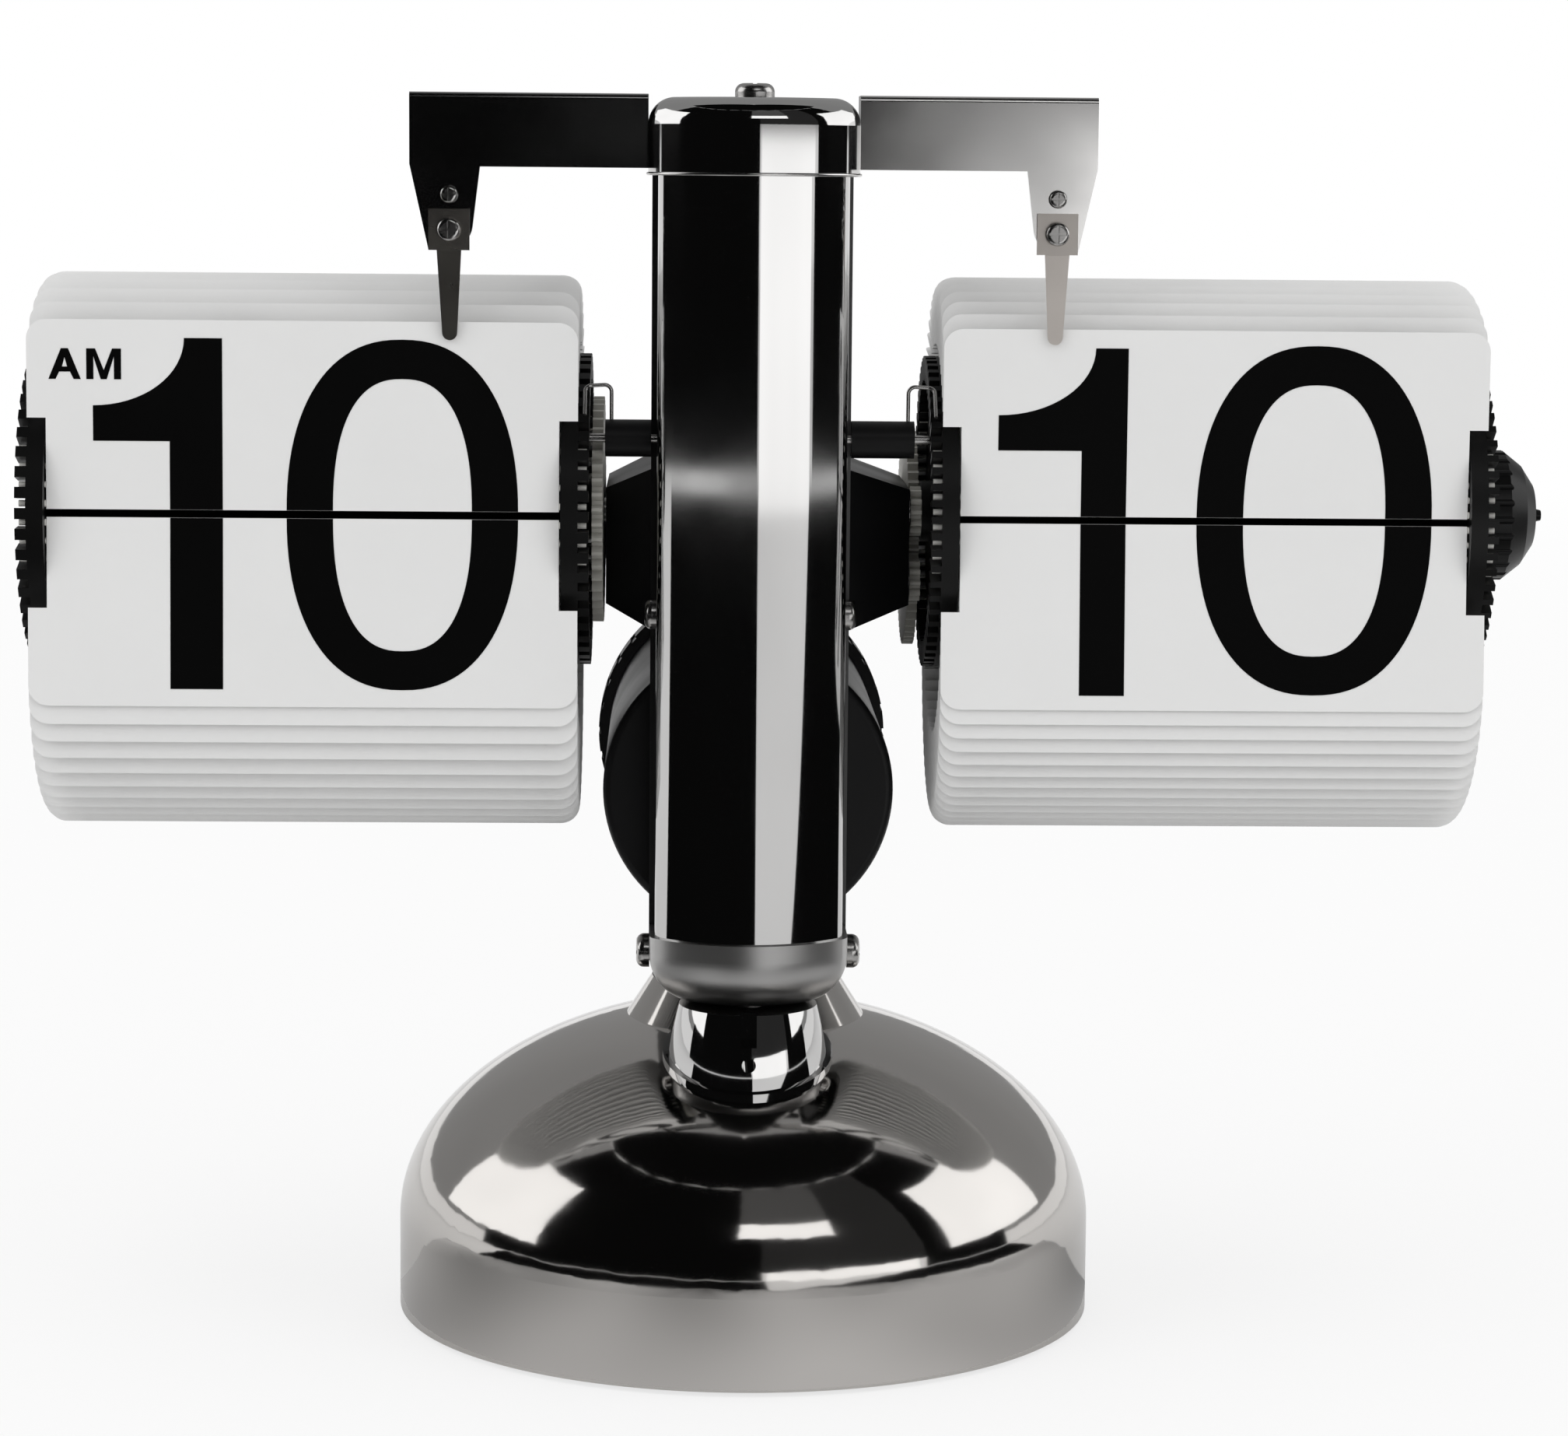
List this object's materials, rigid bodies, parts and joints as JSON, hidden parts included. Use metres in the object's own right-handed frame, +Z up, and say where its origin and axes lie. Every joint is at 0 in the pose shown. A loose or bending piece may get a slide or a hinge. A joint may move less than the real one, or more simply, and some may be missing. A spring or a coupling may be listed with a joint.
{
  "type": "flip clock",
  "caption": "Desk flip clock: a chromed post on a weighted dome base holds an hour drum and a minute drum of split leaves either side, with a round battery case behind.",
  "frame": {"origin": "centre of the rest face under the base", "axes": "+X to the right along the drums as seen from the front, -Y to the front, +Z up"},
  "size_m": [0.1998, 0.1041, 0.1626],
  "materials": {
    "chrome": "polished chrome",
    "satin_steel": "satin",
    "steel": "bright",
    "dark_steel": "blackened",
    "black_plastic": "fine satin",
    "drum_black": "semi-gloss",
    "leaf_white": "satin white",
    "pin_white": "satin white",
    "gear_plastic": "natural",
    "brass": "satin",
    "cast_iron": "as cast",
    "rubber": "matte",
    "cell_jacket": "satin"
  },
  "bodies": {
    "frame": {"arm_screws": "steel", "base_dome": "chrome", "base_pad": "rubber", "base_weight": "cast_iron", "battery_case": "black_plastic", "battery_cell": "cell_jacket", "cap_screw": "steel", "chassis": "dark_steel", "click_springs": "steel", "collar": "satin_steel", "collar_screws": "steel", "drum_shaft": "steel", "finger_screws": "steel", "front_contact": "brass", "gearbox_cover": "black_plastic", "gearbox_screws": "steel", "gearbox_shell": "black_plastic", "hour_arm": "satin_steel", "hour_fallen_leaves": "leaf_white", "hour_finger": "dark_steel", "hour_rear_leaves": "leaf_white", "hour_waiting_leaves": "leaf_white", "minute_arm": "satin_steel", "minute_fallen_leaves": "leaf_white", "minute_finger": "steel", "minute_rear_leaves": "leaf_white", "minute_waiting_leaves": "leaf_white", "movement": "black_plastic", "neck": "chrome", "neck_bolt": "steel", "post_cover": "chrome", "post_screws": "steel", "shaft_clip": "steel", "stud": "steel", "stud_sleeves": "black_plastic", "top_cap": "chrome"},
    "minute_drum": {"minute_inner_disc": "drum_black", "minute_outer_disc": "drum_black", "minute_spool": "drum_black", "minute_pinion": "gear_plastic", "minute_leaf_pins": "pin_white", "setting_knob": "black_plastic"},
    "hour_drum": {"hour_inner_disc": "drum_black", "hour_outer_disc": "drum_black", "hour_spool": "drum_black", "hour_gear": "gear_plastic", "hour_leaf_pins": "pin_white"},
    "lay": {"lay_shaft": "steel", "lay_gear": "gear_plastic", "lay_pinion": "gear_plastic"},
    "drive": {"drive_arbor": "steel", "drive_pinion": "gear_plastic"},
    "minute_leaf": {"minute_falling_leaf": "leaf_white"},
    "hour_leaf": {"hour_falling_leaf": "leaf_white"},
    "battery_cap": {"battery_cap": "black_plastic", "cap_contact": "brass"}
  },
  "joints": [
    {"name": "minute_drum_turn", "type": "hinge", "parent": "frame", "child": "minute_drum", "pos_m": [0, 0, 0.1072], "axis": [1, 0, 0], "continuous": true},
    {"name": "hour_drum_turn", "type": "hinge", "parent": "frame", "child": "hour_drum", "pos_m": [0, 0, 0.1072], "axis": [1, 0, 0], "continuous": true},
    {"name": "lay_turn", "type": "hinge", "parent": "frame", "child": "lay", "pos_m": [0, 0.01678, 0.1026], "axis": [1, 0, 0], "continuous": true},
    {"name": "drive_turn", "type": "hinge", "parent": "frame", "child": "drive", "pos_m": [0, 0.0005, 0.098], "axis": [1, 0, 0], "continuous": true},
    {"name": "minute_leaf_fall", "type": "hinge", "parent": "frame", "child": "minute_leaf", "pos_m": [0, -0.01835, 0.10855], "axis": [1, 0, 0], "range_deg": [0, 169]},
    {"name": "hour_leaf_fall", "type": "hinge", "parent": "frame", "child": "hour_leaf", "pos_m": [0, -0.01832, 0.10888], "axis": [1, 0, 0], "range_deg": [0, 169]},
    {"name": "battery_cap_twist", "type": "hinge", "parent": "frame", "child": "battery_cap", "pos_m": [0, 0.03, 0.0713], "axis": [0, 1, 0], "range_deg": [0, 40]}
  ],
  "couplings": [
    {"joint": "hour_drum_turn", "follows": "minute_drum_turn", "ratio": 0.041667},
    {"joint": "lay_turn", "follows": "minute_drum_turn", "ratio": -0.2},
    {"joint": "drive_turn", "follows": "minute_drum_turn", "ratio": 1.2}
  ]
}
